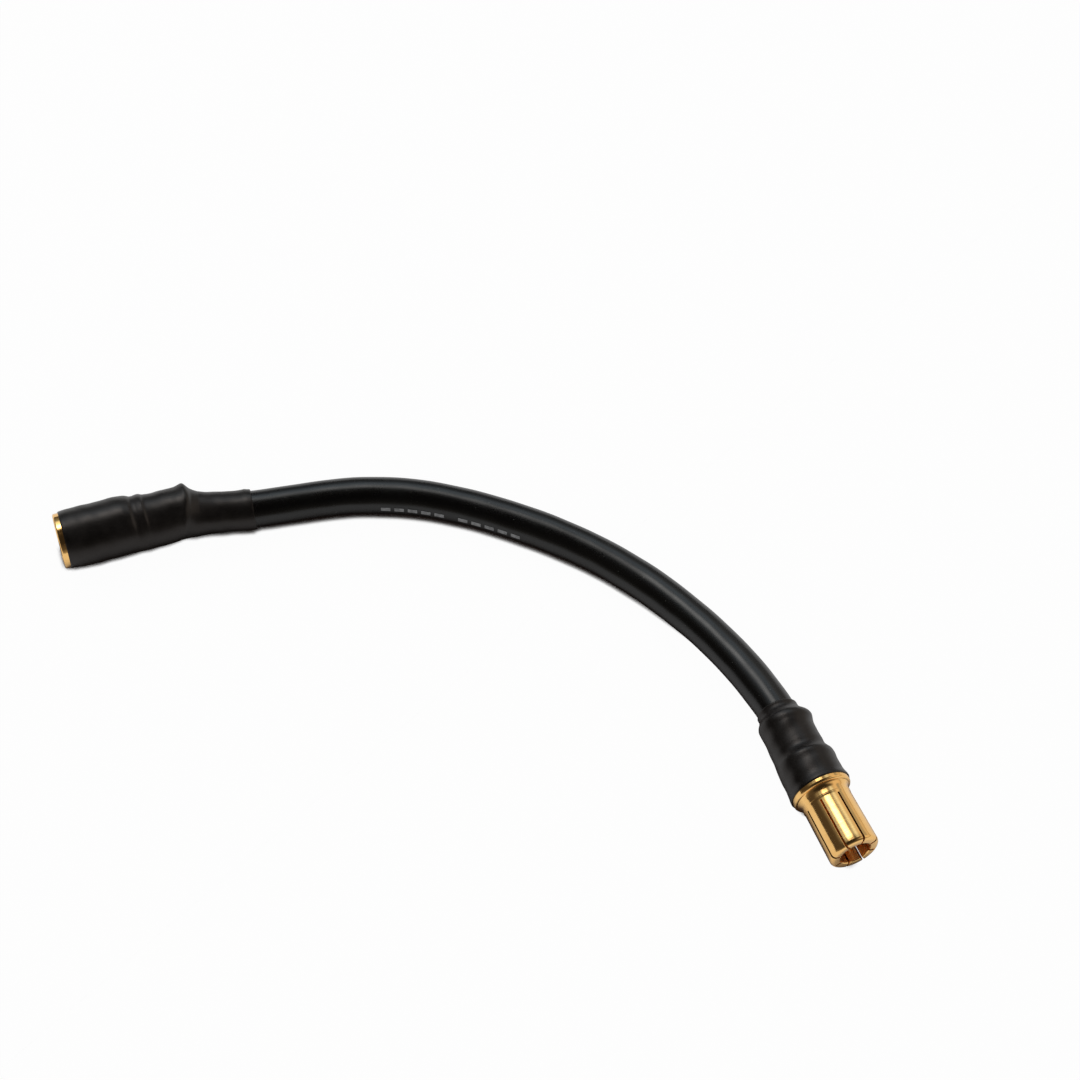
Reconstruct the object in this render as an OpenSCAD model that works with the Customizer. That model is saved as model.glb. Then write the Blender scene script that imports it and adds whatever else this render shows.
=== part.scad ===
// Battery lead: a slotted bullet plug and a bullet socket on the two ends of one short
// stranded wire. Each contact is turned from brass, gold-plated, soldered to the wire and
// covered by heat-shrink. The lead lies on the plane z = 0, as it would be put down.

/* [Plug and socket fit] */
// Diameter of the plug's pin
pin_d = 8; // [5:0.1:10]
// Gap all round between the pin and the socket's bore
fit_gap = 0.05; // [0.02:0.01:0.1]
// Length of the pin ahead of its collar, with the cove at its root
pin_l = 10.9; // [8:0.1:14]

/* [Plug] */
// How far the collar's rim stands out beyond the pin
rim_step = 0.7; // [0.5:0.05:1.2]
// Length of the collar, with its rim
collar_l = 5.9; // [4:0.1:8]
// Length of the collar's rim
rim_l = 1.3; // [1:0.1:2]
// How much smaller the collar is behind its rim, in radius
rim_rise = 0.3; // [0.05:0.05:0.4]
// Length of the hollow cove from the rim down to the pin
cove_l = 1.6; // [0.8:0.1:2.4]
// Height of the turned step at the foot of the cove
root_step = 0.06; // [0.02:0.01:0.15]
// Number of saw cuts across the pin, two spring fingers to each
saw_cuts = 4; // [2:1:6]
// Width of a saw cut
slot_w = 0.3; // [0.2:0.05:0.7]
// Plain length of pin between the root step and the slots
slot_start = 0.6; // [0.2:0.1:1.5]
// Thickness of the spring fingers
finger_t = 1.5; // [0.8:0.05:1.8]
// Rounding of the pin's tip
tip_r = 0.65; // [0.2:0.05:0.75]
// Small bevel on the tip's inner edge
tip_bevel = 0.15; // [0.05:0.05:0.3]

/* [Socket] */
// Wall of the socket round its bore
socket_wall = 0.4; // [0.3:0.05:0.8]
// Length of the socket's barrel, round the bore
barrel_l = 11.9; // [11:0.1:15]
// Solid web between the bore and the solder cup
web_t = 0.6; // [0.4:0.1:1.2]
// Length of the waist between the barrel and the solder cup
waist_l = 1.1; // [0.6:0.1:2]
// Width of the turned bead behind the waist
bead_l = 1; // [0.6:0.1:1.6]
// How far the bead stands out from the solder cup
bead_step = 0.3; // [0.1:0.05:0.5]
// Rounding of the socket's mouth on the outside
mouth_r = 0.25; // [0.1:0.05:0.3]
// Bevel of the socket's mouth on the inside
mouth_bevel = 0.1; // [0.05:0.05:0.2]

/* [Solder cups] */
// Length of the plug's solder cup
plug_cup_l = 7; // [6.8:0.1:9]
// Length of the socket's solder cup
socket_cup_l = 6.2; // [6:0.1:8]
// Depth of the hole in a solder cup
cup_depth = 5.8; // [4:0.1:6]
// Wall of a solder cup
cup_wall = 1.05; // [0.6:0.05:1.3]
// Solder all round the strands
solder_t = 0.6; // [0.5:0.05:0.8]

/* [Wire] */
// Outer diameter of the silicone jacket
wire_d = 6; // [5.2:0.1:7]
// Diameter of the bundle of strands
strands_d = 4.2; // [3.4:0.1:4.6]
// Bare strands between a solder cup and the jacket
bare_l = 0.7; // [0.6:0.1:1.5]
// How deep the strands reach into a solder cup
strands_in = 5.2; // [3:0.1:5.4]

/* [Heat-shrink] */
// Wall of the shrunk sleeves
sleeve_t = 0.3; // [0.2:0.05:0.6]
// Wall of a sleeve at its end over a contact, where it is stretched thin
sleeve_end_t = 0.15; // [0.1:0.05:0.2]
// Clearance under the sleeves
sleeve_gap = 0.03; // [0.02:0.01:0.1]
// Gold left showing at the socket's mouth
socket_bare = 0.9; // [0.4:0.1:2]
// Gold left showing at the plug's rim
plug_bare = 0.9; // [0.4:0.1:1.2]
// Length of sleeve on the wire behind the socket
socket_neck_l = 10.3; // [6:0.1:14]
// Length of sleeve on the wire behind the plug
plug_neck_l = 2.4; // [2.2:0.1:8]

/* [Hidden] */
$fn = 64;

wire_sides = 12;
sleeve_sides = 24;
slack = 0.02;                  // clearance of solder in its cup and round the strands
jacket_gap = 0.05;             // clearance of the jacket round the strands
cut_over = 1;                  // how far a cutting shape runs past the face it cuts
edge_bevel = 0.2;              // bevel on the turned edges that a sleeve lies over
step_l = 0.6;                  // length over which a sleeve steps down behind an edge

pin_r = pin_d / 2;
bore_r = pin_r + fit_gap;
barrel_r = bore_r + socket_wall;
rim_r = pin_r + rim_step;
collar_r = rim_r - rim_rise;
wire_r = wire_d / 2;
strands_r = strands_d / 2;
cup_bore_r = strands_r + solder_t;
cup_r = cup_bore_r + cup_wall;
bead_r = cup_r + bead_step;

// Distances along each contact, from the open end of its solder cup
rim_front = plug_cup_l + (collar_r - cup_r) + collar_l;
rim_back = rim_front - rim_l;
root_at = rim_front + cove_l;
slots_at = root_at + slot_start;
plug_l = rim_front + pin_l;
hollow_r = pin_r - finger_t;
hollow_at = slots_at - tip_r;
bead_front = socket_cup_l + bead_l;
barrel_back = bead_front + waist_l;
socket_l = barrel_back + barrel_l;
bore_at = max(cup_depth + web_t, barrel_back + web_t);

// Each contact lies on the floor on its sleeve, over its widest part
plug_h = rim_r + sleeve_gap + sleeve_end_t;
socket_h = barrel_r + sleeve_gap + sleeve_t;

// Where the open ends of the solder cups lie, and the way the contacts' mouths point
plug_at = [50.5, -9.7, plug_h];
plug_turn = -66.25;
socket_at = [-43.3, 29.1, socket_h];
socket_turn = 197;

// The wire leaves the socket's cup a little low and turned off its axis
socket_exit = socket_at + [0.1, -0.25, -0.4];
socket_exit_turn = 11;
socket_exit_dip = 9;

// Way of the wire from the socket to the plug. The third value is how far the wire is
// still lifted off the floor, from 0, lying on it, to 1, on the axis of the contact ahead.
lead_in = 2.4;
route = [
    [-37.2, 29.6, 0.3], [-33.2, 30.1, 0.22], [-28.6, 31, 0.1], [-23.8, 32.1, 0],
    [-18.5, 33, 0], [-12.7, 33.3, 0], [-6.7, 32.9, 0], [-0.7, 31.7, 0], [5.2, 29.9, 0],
    [11, 27.7, 0], [16.6, 25.2, 0], [22, 22.3, 0], [27.1, 18.9, 0.03], [31.9, 15, 0.12],
    [36.3, 10.7, 0.28], [40.4, 6.2, 0.48], [44.1, 1.4, 0.7], [47.4, -3.7, 0.9]
];

// ---- The wire's curve: one smooth spline, straight where it leaves the cups ----

function heading(turn, dip = 0) = [cos(turn) * cos(dip), sin(turn) * cos(dip), -sin(dip)];
function unit(v) = v / norm(v);

start_dir = heading(socket_exit_turn, socket_exit_dip);
end_dir = heading(plug_turn);
function lifted(i) = wire_r + route[i].z * ((i < len(route) / 2 ? socket_h : plug_h) - wire_r);
controls = concat(
    [for (k = [-1:1]) socket_exit + k * lead_in * start_dir],
    [for (i = [0:len(route) - 1]) [route[i].x, route[i].y, lifted(i)]],
    [for (k = [-1:1]) plug_at + k * lead_in * end_dir]
);
spans = len(controls) - 3;

function blend(u) = [pow(1 - u, 3), 3 * pow(u, 3) - 6 * u * u + 4,
                     -3 * pow(u, 3) + 3 * u * u + 3 * u + 1, pow(u, 3)] / 6;
function slope(u) = [-pow(1 - u, 2), 3 * u * u - 4 * u, -3 * u * u + 2 * u + 1, u * u] / 2;
function mix(weights, i) = weights[0] * controls[i] + weights[1] * controls[i + 1]
                         + weights[2] * controls[i + 2] + weights[3] * controls[i + 3];
function span_of(t) = min(floor(t), spans - 1);
function point(t) = mix(blend(t - span_of(t)), span_of(t));
function way(t) = unit(mix(slope(t - span_of(t)), span_of(t)));

// Length along the curve against its parameter, so that a distance finds its place
table_step = 0.5;
function reach(i) = i == 0 ? 0
    : reach(i - 1) + norm(point(i * table_step) - point((i - 1) * table_step));
reaches = [for (i = [0:spans / table_step]) [reach(i), i * table_step]];
wire_l = reaches[len(reaches) - 1][0];
function at(distance) = lookup(distance, reaches);

// A place on the lead, as [centre, direction], at a distance from a cup's open end:
// above 0 along the wire, below 0 along the axis of the contact
function from_socket(d) = d > 0 ? [point(at(d)), way(at(d))]
    : [socket_at - d * heading(socket_turn), -heading(socket_turn)];
function from_plug(d) = d > 0 ? [point(at(wire_l - d)), way(at(wire_l - d))]
    : [plug_at - d * heading(plug_turn), heading(plug_turn)];

// ---- Swept tubes ----

function ring(place, r, sides) =
    let (side = unit(cross(place[1], [0, 0, 1])), up = cross(side, place[1]))
    [for (k = [0:sides - 1]) place[0] + r * (cos(k * 360 / sides) * side
                                             + sin(k * 360 / sides) * up)];
function skin(first, rings, sides) = [
    for (i = [0:rings - 2], j = [0:sides - 1])
    let (a = first + i * sides + j, b = first + i * sides + (j + 1) % sides)
    each [[a, b, b + sides], [a, b + sides, a + sides]]
];
function turned_out(faces) = [for (f = faces) [f[2], f[1], f[0]]];

// Solid rod through the places
module rod(places, r, sides) {
    last = (len(places) - 1) * sides;
    polyhedron([for (p = places) each ring(p, r, sides)], concat(
        skin(0, len(places), sides),
        [[for (j = [sides - 1:-1:0]) j]],
        [[for (j = [0:sides - 1]) last + j]]));
}

// Hollow tube through the places, with its own inner and outer radius at each
module tube(places, inner, outer, sides) {
    n = len(places);
    in = n * sides;            // first point of the inner wall
    last = (n - 1) * sides;    // first point of the last ring
    polyhedron(concat(
        [for (i = [0:n - 1]) each ring(places[i], outer[i], sides)],
        [for (i = [0:n - 1]) each ring(places[i], inner[i], sides)]
    ), concat(
        skin(0, n, sides),
        turned_out(skin(in, n, sides)),
        [for (j = [0:sides - 1]) let (k = (j + 1) % sides)
            each [[k, j, in + j], [k, in + j, in + k]]],
        [for (j = [0:sides - 1]) let (k = (j + 1) % sides)
            each [[last + j, last + k, in + last + k], [last + j, in + last + k, in + last + j]]]));
}

// ---- Placing a turned part, drawn with its open cup at z = 0 and its mouth up ----

module on_plug() translate(plug_at) rotate([0, 90, plug_turn]) children();
module on_socket() translate(socket_at) rotate([0, 90, socket_turn]) children();
// At the wire's ends, with z running out of the cup along the wire
module on_socket_wire() translate(socket_exit)
    rotate([0, 90 + socket_exit_dip, socket_exit_turn]) children();
module on_plug_wire() translate(plug_at) rotate([0, 90, plug_turn + 180]) children();

// Half section of a solid cylinder from one height to another, bevelled at either end
module turned(r, from, to, bevel_from = 0, bevel_to = 0)
    polygon([[0, from], [r - bevel_from, from], [r, from + bevel_from],
             [r, to - bevel_to], [r - bevel_to, to], [0, to]]);

// ---- Contacts ----

slot_turn = 27;                // turn of the first saw cut about the pin's axis
cove_h = 0.7 * rim_step;       // leaves a narrow flat ring inside the rim's edge
cove_r = (cove_l * cove_l + cove_h * cove_h) / (2 * cove_h);

module plug_contact() color("gold") on_plug() difference() {
    rotate_extrude() {
        turned(cup_r, 0, plug_cup_l, edge_bevel);
        turned(collar_r, plug_cup_l, rim_back, collar_r - cup_r);
        turned(rim_r, rim_back - rim_rise, rim_front, rim_rise, edge_bevel);
        difference() {
            turned(pin_r + root_step + cove_h, rim_front, root_at);
            translate([pin_r + root_step + cove_r, root_at]) circle(cove_r);
        }
        turned(pin_r, root_at, plug_l - tip_r);
        translate([0, plug_l - tip_r]) square([pin_r - tip_r, tip_r]);
        intersection() {
            translate([pin_r - tip_r, plug_l - tip_r]) circle(tip_r);
            translate([0, plug_l - tip_r]) square([pin_r, tip_r]);
        }
    }
    cup_hole();
    translate([0, 0, hollow_at]) cylinder(r = hollow_r, h = plug_l - hollow_at + cut_over);
    translate([0, 0, plug_l - tip_bevel])
        cylinder(r1 = hollow_r, r2 = hollow_r + 2 * tip_bevel, h = 2 * tip_bevel);
    for (i = [0:saw_cuts - 1]) rotate(slot_turn + i * 180 / saw_cuts)
        translate([-rim_r, -slot_w / 2, slots_at])
            cube([2 * rim_r, slot_w, plug_l - slots_at + cut_over]);
}

module socket_contact() color("gold") on_socket() difference() {
    rotate_extrude() {
        turned(cup_r, 0, barrel_back, edge_bevel);
        turned(bead_r, socket_cup_l, bead_front, edge_bevel, edge_bevel);
        turned(barrel_r, barrel_back, socket_l - mouth_r, barrel_r - cup_r);
        translate([0, socket_l - mouth_r]) square([barrel_r - mouth_r, mouth_r]);
        intersection() {
            translate([barrel_r - mouth_r, socket_l - mouth_r]) circle(mouth_r);
            translate([0, socket_l - mouth_r]) square([barrel_r, mouth_r]);
        }
    }
    cup_hole();
    translate([0, 0, bore_at]) cylinder(r = bore_r, h = socket_l - bore_at + cut_over);
    translate([0, 0, socket_l - mouth_bevel])
        cylinder(r1 = bore_r, r2 = bore_r + 2 * mouth_bevel, h = 2 * mouth_bevel);
}

module cup_hole() translate([0, 0, -cut_over]) cylinder(r = cup_bore_r, h = cup_depth + cut_over);

// ---- Heat-shrink: a station is [distance from the cup, radius under the sleeve, wall] ----

module sleeve(stations, places) tube(places,
    [for (s = stations) (s[1] + sleeve_gap) / cos(180 / sleeve_sides)],
    [for (s = stations) s[1] + sleeve_gap + s[2]], sleeve_sides);

stretched_t = (sleeve_t + sleeve_end_t) / 2;

plug_stations = [
    [plug_neck_l, wire_r, sleeve_t], [1.8, wire_r, sleeve_t],
    [1.1, wire_r + 0.2, sleeve_t], [0.5, cup_r - 0.2, sleeve_t],
    [0, cup_r, sleeve_t], [-plug_cup_l, cup_r, sleeve_t],
    [-plug_cup_l - (collar_r - cup_r), collar_r, stretched_t],
    [-rim_back + rim_rise, collar_r, stretched_t],
    [-rim_back, rim_r, sleeve_end_t], [-rim_front + plug_bare, rim_r, sleeve_end_t]
];
module plug_sleeve() color([0.16, 0.16, 0.17])
    sleeve(plug_stations, [for (s = plug_stations) from_plug(s[0])]);

socket_stations = [
    [-socket_l + socket_bare, barrel_r, sleeve_end_t],
    [-socket_l + socket_bare + 0.5, barrel_r, stretched_t],
    [-socket_l + socket_bare + 1.5, barrel_r, sleeve_t],
    [-barrel_back - (barrel_r - cup_r), barrel_r, sleeve_t],
    [-barrel_back, cup_r + bead_step / 2, sleeve_t],
    [-bead_front, bead_r, sleeve_t], [-socket_cup_l, bead_r, sleeve_t],
    [-socket_cup_l + step_l, cup_r, sleeve_t], [0, cup_r, sleeve_t], [0.6, cup_r, sleeve_t],
    [1.6, wire_r + 0.4, sleeve_t], [3, wire_r + 0.1, sleeve_t], [4.5, wire_r, sleeve_t],
    [6.5, wire_r, sleeve_t], [8.5, wire_r, sleeve_t], [socket_neck_l, wire_r, sleeve_t]
];
module socket_sleeve() color([0.16, 0.16, 0.17])
    sleeve(socket_stations, [for (s = socket_stations) from_socket(s[0])]);

// ---- Wire ----

ring_space = 1;                // least spacing of rings along the wire

// The curve's own points between two distances from its start
function places(from, to) = concat(
    [[point(at(from)), way(at(from))]],
    [for (t = [1:spans - 1], d = [reaches[t / table_step][0]])
        if (d > from + ring_space && d < to - ring_space) [point(t), way(t)]],
    [[point(at(to)), way(at(to))]]);

module wire_jacket() color([0.08, 0.08, 0.09]) {
    run = places(bare_l, wire_l - bare_l);
    tube(run, [for (p = run) strands_r + jacket_gap], [for (p = run) wire_r], wire_sides);
}

module wire_strands() color([0.72, 0.45, 0.28])
    rod(concat(
        [[socket_exit - strands_in * start_dir, start_dir]],
        places(0, wire_l),
        [[plug_at + strands_in * end_dir, end_dir]]), strands_r, wire_sides);

// Solder fills a cup round its strands and behind their ends
module solder_fill() translate([0, 0, bare_l])
    cylinder(r = cup_bore_r - slack, h = cup_depth - bare_l - slack);
module strands_hole() translate([0, 0, -strands_in - slack])
    cylinder(r = strands_r + slack, h = strands_in + 2 * cut_over);

module plug_solder() color([0.7, 0.7, 0.72]) difference() {
    on_plug() solder_fill();
    on_plug_wire() strands_hole();
}

module socket_solder() color([0.7, 0.7, 0.72]) difference() {
    on_socket() solder_fill();
    on_socket_wire() strands_hole();
}

plug_contact();
socket_contact();
plug_sleeve();
socket_sleeve();
wire_jacket();
wire_strands();
plug_solder();
socket_solder();
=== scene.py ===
"""Looks of a short battery lead: bullet plug and socket, heat-shrink sleeves, silicone wire."""

import math

import bmesh
import bpy
import numpy as np
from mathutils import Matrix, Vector


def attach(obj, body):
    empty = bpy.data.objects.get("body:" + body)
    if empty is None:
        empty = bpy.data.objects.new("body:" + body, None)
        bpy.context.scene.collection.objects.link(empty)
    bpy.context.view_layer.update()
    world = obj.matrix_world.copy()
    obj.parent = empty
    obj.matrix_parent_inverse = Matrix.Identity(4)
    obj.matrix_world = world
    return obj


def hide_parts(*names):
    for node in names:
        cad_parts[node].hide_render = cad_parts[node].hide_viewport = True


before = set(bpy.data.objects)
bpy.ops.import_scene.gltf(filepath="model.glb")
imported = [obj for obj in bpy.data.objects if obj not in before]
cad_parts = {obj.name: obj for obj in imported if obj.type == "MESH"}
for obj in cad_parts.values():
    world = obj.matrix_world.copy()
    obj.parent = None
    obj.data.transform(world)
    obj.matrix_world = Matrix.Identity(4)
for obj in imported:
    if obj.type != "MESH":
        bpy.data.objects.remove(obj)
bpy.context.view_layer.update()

MM = 0.001
BODY = "root"                  # the part's one body
UP = np.array([0.0, 0.0, 1.0])

# ---- Sizes, mostly those of the CAD part ----

PIN_R = 4.0 * MM
BORE_R = 4.05 * MM
BARREL_R = 4.45 * MM
RIM_R = 4.7 * MM
COLLAR_R = 4.4 * MM
CUP_BORE_R = 2.7 * MM
CUP_R = 3.75 * MM
BEAD_R = 4.05 * MM
HOLLOW_R = 2.5 * MM
WIRE_R = 3.0 * MM
STRANDS_R = 2.15 * MM          # inner wall of the jacket
CUP_DEPTH = 5.8 * MM

# Along the plug, from the open end of its solder cup
PLUG_CUP_L = 7.0 * MM
RIM_BACK = 12.25 * MM
RIM_FRONT = 13.75 * MM
COVE_END = 14.6 * MM
ROOT_AT = 15.15 * MM
SLOTS_AT = 15.75 * MM
PLUG_L = 24.45 * MM
TIP_R = 0.65 * MM              # rounding of the fingers' tips
SLOT_W = 0.3 * MM
SLOT_TURN = math.radians(27)
FINGERS = 8

# Along the socket, from the open end of its solder cup
SOCKET_CUP_L = 6.2 * MM
BEAD_FRONT = 7.2 * MM
BARREL_BACK = 8.3 * MM
BORE_AT = 8.9 * MM
SOCKET_L = 20.2 * MM

# Heat-shrink
PLUG_SLEEVE_FROM = -2.4 * MM
PLUG_SLEEVE_TO = 12.88 * MM
SOCKET_SLEEVE_FROM = -10.9 * MM
SOCKET_SLEEVE_TO = 19.3 * MM

# Where the cups open and which way the contacts point
PLUG_AT = np.array([50.5, -9.7, 4.88]) * MM
PLUG_TURN = -66.25
SOCKET_AT = np.array([-43.3, 29.1, 4.78]) * MM
SOCKET_TURN = 197.0
SOCKET_EXIT = SOCKET_AT + np.array([0.1, -0.25, -0.4]) * MM
SOCKET_EXIT_TURN = 11.0
SOCKET_EXIT_DIP = 9.0
LEAD_IN = 2.4 * MM             # step of the curve's control points at its ends
BARE_L = 0.7 * MM              # strands without jacket at each cup

# The wire's way in metres. The third value is its rise, from 0 on the floor to 1 at the height of
# the nearer contact's axis
ROUTE = [
    (-0.0372, 0.0296, 0.3), (-0.0332, 0.0301, 0.22), (-0.0286, 0.031, 0.1), (-0.0238, 0.0321, 0),
    (-0.0185, 0.033, 0), (-0.0127, 0.0333, 0), (-0.0067, 0.0329, 0), (-0.0007, 0.0317, 0),
    (0.0052, 0.0299, 0), (0.011, 0.0277, 0), (0.0166, 0.0252, 0), (0.022, 0.0223, 0),
    (0.0271, 0.0189, 0.03), (0.0319, 0.015, 0.12), (0.0363, 0.0107, 0.28), (0.0404, 0.0062, 0.48),
    (0.0441, 0.0014, 0.7), (0.0474, -0.0037, 0.9),
]

# ---- Camera, at the photograph's angle ----

VIEW_TARGET = Vector((13.5, 26.6, 0)) * MM
VIEW_ELEVATION = math.radians(57)
VIEW_DISTANCE = 500 * MM
VIEW_LENS = 104.17             # millimetres
VIEW_SENSOR = 36


def make_camera():
    data = bpy.data.cameras.new("camera")
    data.lens = VIEW_LENS
    data.sensor_width = VIEW_SENSOR
    data.clip_start = 10 * MM
    camera = bpy.data.objects.new("camera", data)
    back = Vector((0, -math.cos(VIEW_ELEVATION), math.sin(VIEW_ELEVATION)))
    camera.location = VIEW_TARGET + back * VIEW_DISTANCE
    camera.rotation_euler = (math.pi / 2 - VIEW_ELEVATION, 0, 0)
    bpy.context.scene.collection.objects.link(camera)
    bpy.context.scene.camera = camera


make_camera()

# ---- Curve of the wire ----


def heading(turn, dip=0.0):
    """The direction at a turn from the x axis and a dip below level, both in degrees."""
    t, d = math.radians(turn), math.radians(dip)
    return np.array([math.cos(t) * math.cos(d), math.sin(t) * math.cos(d), -math.sin(d)])


def unit(v):
    return v / np.linalg.norm(v, axis=-1, keepdims=True)


def spline_points(steps=24):
    """The uniform cubic B-spline through the lead: points from cup to cup."""
    out_dir, in_dir = heading(SOCKET_EXIT_TURN, SOCKET_EXIT_DIP), heading(PLUG_TURN)
    controls = [SOCKET_EXIT + k * LEAD_IN * out_dir for k in (-1, 0, 1)]
    for i, (x, y, rise) in enumerate(ROUTE):
        axis_h = (SOCKET_AT if i < len(ROUTE) / 2 else PLUG_AT)[2]
        controls.append(np.array([x, y, WIRE_R + rise * (axis_h - WIRE_R)]))
    controls += [PLUG_AT + k * LEAD_IN * in_dir for k in (-1, 0, 1)]
    controls = np.array(controls)
    points = []
    for i in range(len(controls) - 3):
        for u in np.arange(steps) / steps:
            weights = np.array([(1 - u) ** 3, 3 * u**3 - 6 * u * u + 4,
                                -3 * u**3 + 3 * u * u + 3 * u + 1, u**3]) / 6
            points.append(weights @ controls[i:i + 4])
    points.append((controls[-3] + 4 * controls[-2] + controls[-1]) / 6)
    return np.array(points)


LINE = spline_points()
LINE_AT = np.concatenate([[0], np.cumsum(np.linalg.norm(np.diff(LINE, axis=0), axis=1))])
WIRE_L = LINE_AT[-1]


def on_wire(distance):
    """Points of the wire's centreline at distances from the socket's cup."""
    distance = np.atleast_1d(distance)
    return np.stack([np.interp(distance, LINE_AT, LINE[:, k]) for k in range(3)], axis=1)


def contact_axis(at, turn):
    """A function from distance along a contact to the point on its axis."""
    ahead = heading(turn)
    return lambda d: at + np.atleast_1d(d)[:, None] * ahead


plug_axis = contact_axis(PLUG_AT, PLUG_TURN)
socket_axis = contact_axis(SOCKET_AT, SOCKET_TURN)


def smooth(x, low, high):
    """An even step from 0 at low to 1 at high."""
    t = np.clip((np.asarray(x) - low) / (high - low), 0, 1)
    return t * t * (3 - 2 * t)


BLEND_FROM, BLEND_TO = -2.2 * MM, 2.1 * MM    # where a sleeve's line leaves the wire's


def sleeve_line(d, axis, along_wire):
    """Centres of a sleeve: on the contact's axis ahead of its cup, on the wire behind it."""
    share = smooth(d, BLEND_FROM, BLEND_TO)[:, None]
    leaving = (along_wire(LEAD_IN / 4) - along_wire(0)) / (LEAD_IN / 4)
    behind = along_wire(np.maximum(-d, 0)) - np.maximum(d, 0)[:, None] * leaving
    return share * axis(d) + (1 - share) * behind


# ---- Mesh building ----


def add_piece(name, points, faces, material, uv=None, smooth_angle=35):
    """A visible piece on the body, with a material in its slot."""
    mesh = bpy.data.meshes.new(name)
    mesh.from_pydata([tuple(p) for p in points], [], faces)
    mesh.materials.append(material)
    if uv is not None:
        layer = mesh.uv_layers.new(name="UVMap")
        layer.data.foreach_set("uv", np.array(uv, float).ravel())
    piece = bpy.data.objects.new(name, mesh)
    bpy.context.scene.collection.objects.link(piece)
    mesh.shade_smooth()
    mesh.set_sharp_from_angle(angle=math.radians(smooth_angle))
    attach(piece, BODY)
    return piece


def rings_on(centres, radii, angles, slide=0.0):
    """Rings of points round the centres. radii is one value, or one for each point, and slide
    moves each point along the line."""
    way = unit(np.gradient(centres, axis=0))
    side = unit(np.cross(way, UP))
    up = np.cross(side, way)
    shape = (len(centres), len(angles))
    radii, slide = np.broadcast_to(radii, shape), np.broadcast_to(slide, shape)
    return (centres[:, None, :] + slide[..., None] * way[:, None, :]
            + (radii * np.cos(angles))[..., None] * side[:, None, :]
            + (radii * np.sin(angles))[..., None] * up[:, None, :])


def ring_faces(rings, sides, first=0, wrap=False):
    """Faces between rings of points, and with wrap from the last ring to the first as well."""
    faces = []
    for i in range(rings if wrap else rings - 1):
        a, b = first + i * sides, first + ((i + 1) % rings) * sides
        faces += [(a + j, a + (j + 1) % sides, b + (j + 1) % sides, b + j) for j in range(sides)]
    return faces


def ring_uv(rings, sides, along):
    """UVs of ring_faces with wrap: metres along by turns round, in units of a centimetre."""
    uv = []
    for i in range(rings):
        a, b = along[i] * 100, along[(i + 1) % rings] * 100
        for j in range(sides):
            uv += [(a, j / sides), (a, (j + 1) / sides), (b, (j + 1) / sides), (b, j / sides)]
    return uv


def around(sides):
    """Angles of a full ring."""
    return np.arange(sides) * 2 * math.pi / sides


def wave(*terms):
    """A sum of sines: each term is (amplitude, turns per metre along, turns round, phase)."""
    def value(d, a):
        return sum(amp * np.sin(2 * math.pi * along * d + n * a + phase)
                   for amp, along, n, phase in terms)
    return value


# ---- Materials ----


class Shader:
    """A small helper round one procedural material's nodes."""

    def __init__(self, name):
        self.material = bpy.data.materials.new(name)
        self.material.use_nodes = True
        self.tree = self.material.node_tree
        self.surface = self.tree.nodes["Principled BSDF"]
        self.place = self.tree.nodes.new("ShaderNodeTexCoord")

    def node(self, kind, inputs=(), **settings):
        made = self.tree.nodes.new(kind)
        for key, value in settings.items():
            setattr(made, key, value)
        for key, value in dict(inputs).items():
            self.put(made.inputs[key], value)
        return made

    def put(self, socket, value):
        if isinstance(value, bpy.types.NodeSocket):
            self.tree.links.new(value, socket)
        else:
            socket.default_value = value

    def noise(self, scale, detail=3.0, rough=0.55, space="Object", stretch=None):
        vector = self.place.outputs[space]
        if stretch:
            vector = self.node("ShaderNodeMapping", {"Vector": vector, "Scale": stretch}).outputs[0]
        return self.node("ShaderNodeTexNoise", {"Vector": vector, "Scale": scale, "Detail": detail,
                                                "Roughness": rough}).outputs["Fac"]

    def span(self, value, low, high, to_low, to_high):
        return self.node("ShaderNodeMapRange", {"Value": value, "From Min": low, "From Max": high,
                                                "To Min": to_low, "To Max": to_high}).outputs[0]

    def mix(self, share, a, b):
        made = self.node("ShaderNodeMix", data_type="RGBA")
        self.put(made.inputs["Factor"], share)
        self.put(made.inputs[6], a)
        self.put(made.inputs[7], b)
        return made.outputs[2]

    def add(self, a, b):
        made = self.node("ShaderNodeMath", operation="ADD")
        self.put(made.inputs[0], a)
        self.put(made.inputs[1], b)
        return made.outputs[0]

    def bump(self, height, depth, strength, under=None):
        made = self.node("ShaderNodeBump",
                         {"Height": height, "Distance": depth, "Strength": strength})
        if under is not None:
            self.put(made.inputs["Normal"], under)
        return made.outputs[0]

    def set(self, **inputs):
        for key, value in inputs.items():
            self.put(self.surface.inputs[key.replace("_", " ")], value)
        return self.material


def rgb(r, g, b):
    return (r, g, b, 1.0)


def gold_inside_material():
    """The duller plating of the plug's hollow."""
    s = Shader("gold plate inside")
    flow = s.noise(500, 3, 0.6)
    color = s.mix(flow, rgb(0.98, 0.56, 0.2), rgb(0.9, 0.46, 0.13))
    return s.set(Base_Color=color, Metallic=0.92, Roughness=s.span(flow, 0.3, 0.7, 0.28, 0.4),
                 Normal=s.bump(flow, 0.03 * MM, 0.4))


def gold_material():
    s = Shader("gold plate")
    tarnish = s.noise(260, 4, 0.6)
    fine = s.noise(2600, 2, 0.5)
    lines = s.noise(60, 3, 0.6, "UV", (1.0, 0.02, 1.0))
    color = s.mix(s.span(tarnish, 0.45, 0.75, 0, 0.7), rgb(0.93, 0.57, 0.21), rgb(0.78, 0.42, 0.12))
    rough = s.add(s.span(tarnish, 0.3, 0.8, 0.09, 0.16), s.span(fine, 0.4, 0.8, 0.0, 0.05))
    ripple = s.bump(s.noise(420, 2, 0.5), 0.03 * MM, 0.5)
    normal = s.bump(lines, 0.01 * MM, 0.5, ripple)
    return s.set(Base_Color=color, Metallic=1.0, Roughness=rough, Normal=normal)


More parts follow.
